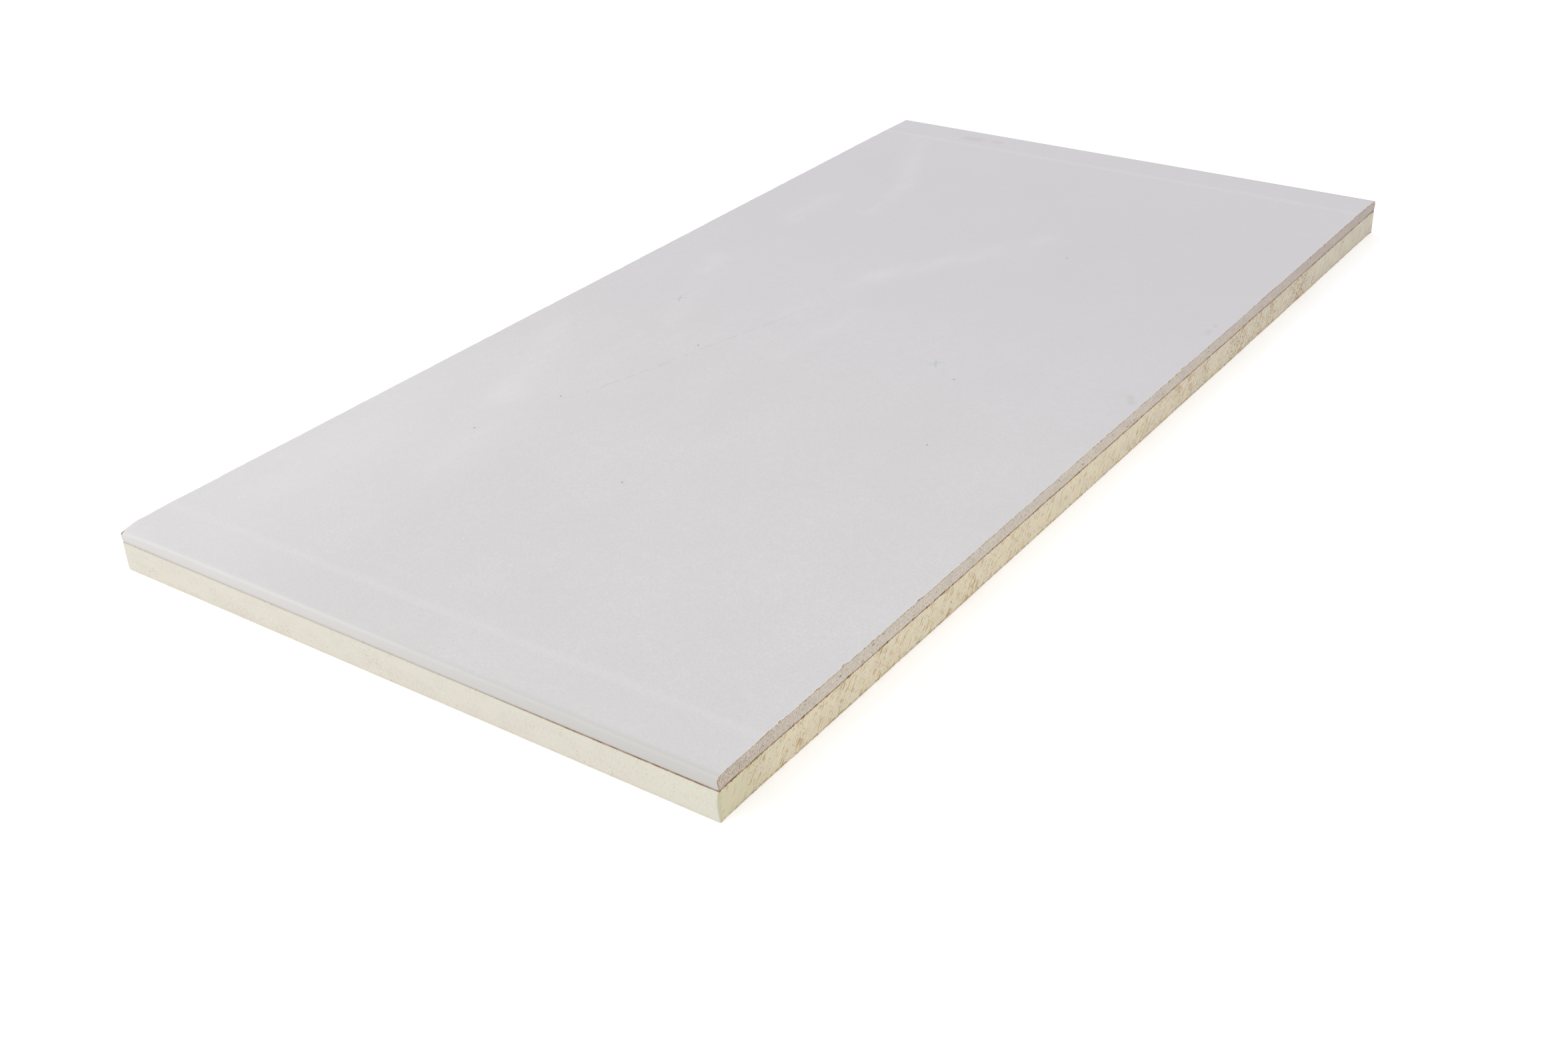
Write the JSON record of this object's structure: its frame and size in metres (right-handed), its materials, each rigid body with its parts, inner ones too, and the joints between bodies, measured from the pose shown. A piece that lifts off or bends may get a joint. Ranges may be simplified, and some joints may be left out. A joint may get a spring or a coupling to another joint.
{
  "type": "insulated plasterboard",
  "caption": "Flat laminated board of paper-faced plasterboard bonded to rigid foam insulation, for lining and insulating walls and ceilings.",
  "frame": {"origin": "middle of the foam's back face, the face that lies on the floor or meets the wall", "axes": "+X along the length, square to the two paper-bound edges; +Y across the board, square to the two sawn edges; +Z from the foam to the plasterboard's face"},
  "size_m": [1.2, 0.6, 0.0375],
  "materials": {
    "face_paper": "matte",
    "gypsum": "matte",
    "back_paper": "matte",
    "rigid_foam": "matte",
    "fleece_facing": "matte"
  },
  "bodies": {
    "root": {"face_liner": "face_paper", "gypsum_core": "gypsum", "back_liner": "back_paper", "foam_core": "rigid_foam", "foam_facing": "fleece_facing"}
  },
  "joints": []
}
